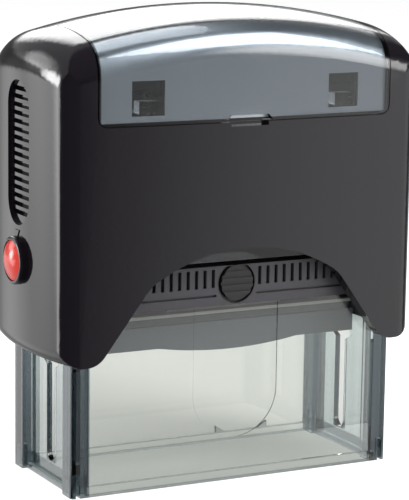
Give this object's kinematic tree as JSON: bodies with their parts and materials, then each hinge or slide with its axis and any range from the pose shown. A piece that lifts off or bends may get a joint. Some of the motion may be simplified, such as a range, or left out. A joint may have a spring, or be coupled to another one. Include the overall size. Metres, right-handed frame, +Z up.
{
  "type": "self inking stamp",
  "caption": "Self inking hand stamp with a clear base, a pressed-down black housing, a flipping text plate, an ink cartridge, side lock buttons and a clear index window.",
  "frame": {"origin": "middle of the base's bottom face, on the paper", "axes": "+X along the text lines, -Y is the front, +Z up along the press direction"},
  "size_m": [0.0948, 0.0416, 0.1034],
  "materials": {
    "clear_plastic": "clear, slightly green, moulded",
    "cartridge_plastic": "satin moulded",
    "inked_felt": "soaked felt",
    "black_plastic": "gloss moulded",
    "window_plastic": "clear polished",
    "silver_card": "silver-grey coated card",
    "frame_plastic": "satin moulded",
    "grey_plastic": "satin moulded",
    "steel": "drawn wire",
    "foam": "closed-cell foam",
    "die_rubber": "moulded rubber",
    "red_plastic": "gloss moulded"
  },
  "bodies": {
    "base": {"base_frame": "clear_plastic", "ink_cartridge": "cartridge_plastic", "ink_pad": "inked_felt", "return_spring_right": "steel", "return_spring_left": "steel"},
    "housing": {"outer_housing": "black_plastic", "yoke": "frame_plastic", "index_card": "silver_card", "button_bezel_right": "black_plastic", "button_bezel_left": "black_plastic", "button_spring_right": "steel", "button_spring_left": "steel"},
    "rotor": {"die_holder": "grey_plastic", "rotor_axle": "steel", "die_cushion": "foam", "text_die": "die_rubber"},
    "window": {"index_window": "window_plastic"},
    "button_right": {"lock_button_right": "red_plastic", "button_clip_right": "steel"},
    "button_left": {"lock_button_left": "red_plastic", "button_clip_left": "steel"}
  },
  "joints": [
    {"name": "press", "type": "slide", "parent": "base", "child": "housing", "axis": [0, 0, -1], "range_m": [0, 0.026], "stiffness_N_per_m": 800, "springref_m": -0.012, "deforming": ["return_spring_right", "return_spring_left"]},
    {"name": "rotor_turn", "type": "hinge", "parent": "housing", "child": "rotor", "pos_m": [0, 0, 0.0322], "axis": [1, 0, 0], "range_deg": [0, 180]},
    {"name": "window_open", "type": "hinge", "parent": "housing", "child": "window", "pos_m": [0, 0.001, 0.1034], "axis": [-1, 0, 0], "range_deg": [0, 60]},
    {"name": "lock_right", "type": "slide", "parent": "housing", "child": "button_right", "axis": [-1, 0, 0], "range_m": [0, 0.0022], "stiffness_N_per_m": 150, "springref_m": -0.002, "deforming": ["button_spring_right"]},
    {"name": "lock_left", "type": "slide", "parent": "housing", "child": "button_left", "axis": [1, 0, 0], "range_m": [0, 0.0022], "stiffness_N_per_m": 150, "springref_m": -0.002, "deforming": ["button_spring_left"]}
  ],
  "couplings": [
    {"joint": "rotor_turn", "follows": "press", "rad_per_m": 120.83}
  ]
}
